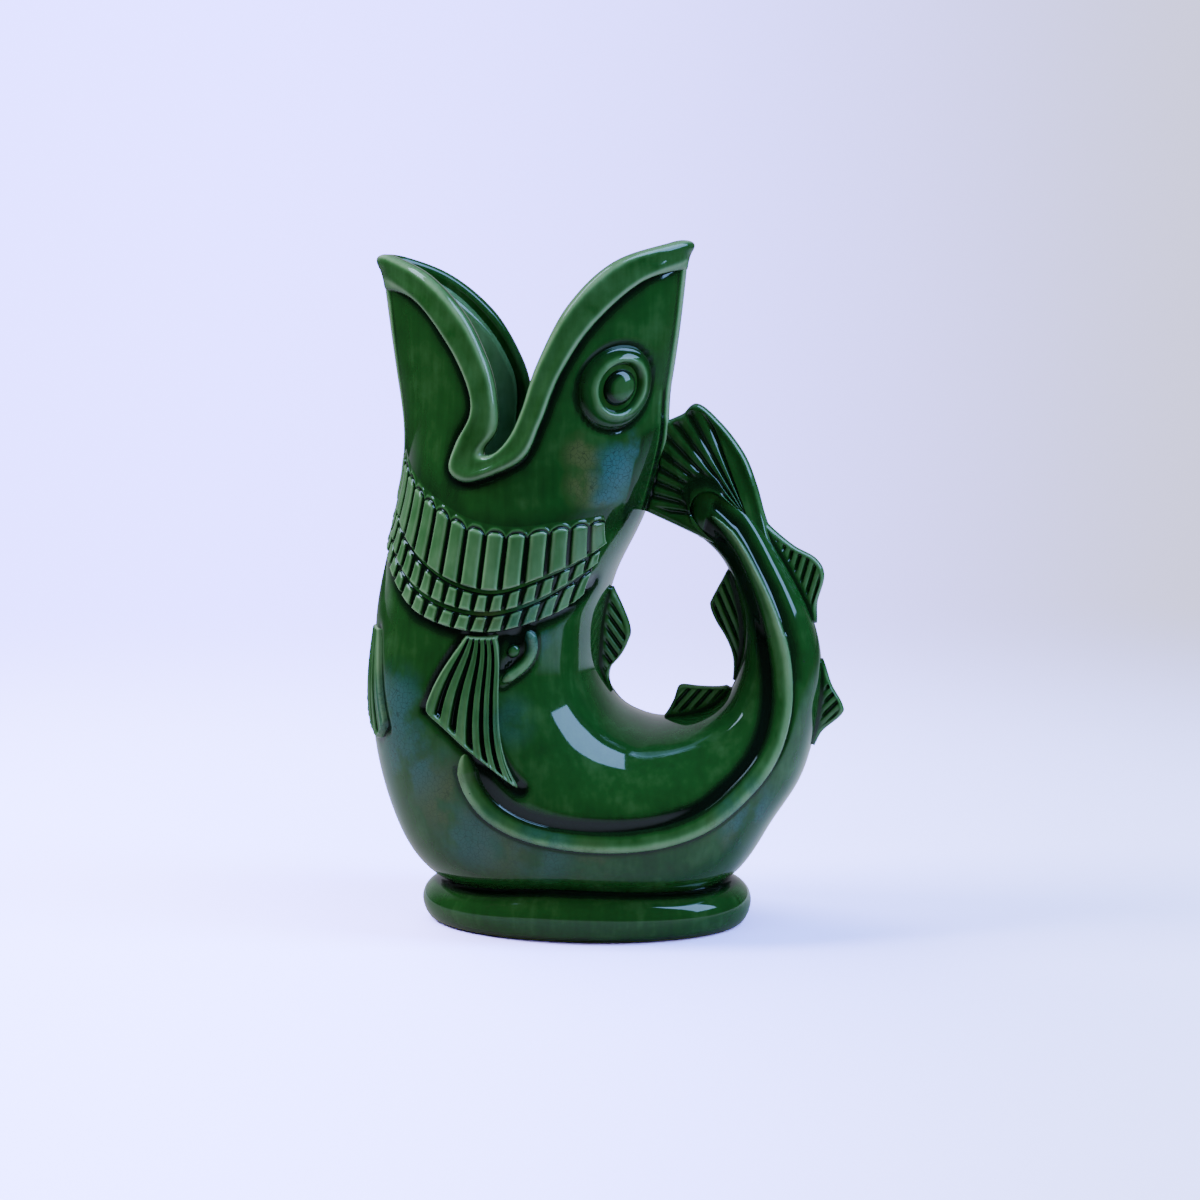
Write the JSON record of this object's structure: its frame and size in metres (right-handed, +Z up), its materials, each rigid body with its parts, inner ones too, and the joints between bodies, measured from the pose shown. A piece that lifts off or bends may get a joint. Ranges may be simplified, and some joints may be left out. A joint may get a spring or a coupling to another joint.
{
  "type": "gurgle jug",
  "caption": "Glazed earthenware pitcher shaped as an upright fish: the open mouth pours, and the hollow tail curls up behind to make the handle.",
  "frame": {"origin": "middle of the oval foot, on the table that the jug stands on", "axes": "+Z up, +X from the belly to the handle, +Y to the fish's right side; the jug pours towards -X"},
  "size_m": [0.1721, 0.104, 0.2466],
  "materials": {
    "green_glaze": "glossy, translucent deep green glaze over pale earthenware, near black where it pools in grooves and grey-green where it thins on raised edges"
  },
  "bodies": {
    "root": {"body_shell": "green_glaze", "mouth_rim": "green_glaze", "foot_ring": "green_glaze", "tail_tube": "green_glaze", "tail_fin": "green_glaze", "eye_ring_left": "green_glaze", "eye_ring_right": "green_glaze", "eye_pupil_left": "green_glaze", "eye_pupil_right": "green_glaze", "gill_plates_upper_left": "green_glaze", "gill_plates_upper_right": "green_glaze", "gill_plates_middle_left": "green_glaze", "gill_plates_middle_right": "green_glaze", "gill_plates_lower_left": "green_glaze", "gill_plates_lower_right": "green_glaze", "pectoral_fin_left": "green_glaze", "pectoral_fin_right": "green_glaze", "ventral_fin_left": "green_glaze", "ventral_fin_right": "green_glaze", "gill_flap_left": "green_glaze", "gill_flap_right": "green_glaze", "lateral_line_left": "green_glaze", "lateral_line_right": "green_glaze", "outer_fin_upper": "green_glaze", "outer_fin_lower": "green_glaze", "inner_fin_body": "green_glaze", "inner_fin_upper": "green_glaze", "inner_fin_lower": "green_glaze"}
  },
  "joints": []
}
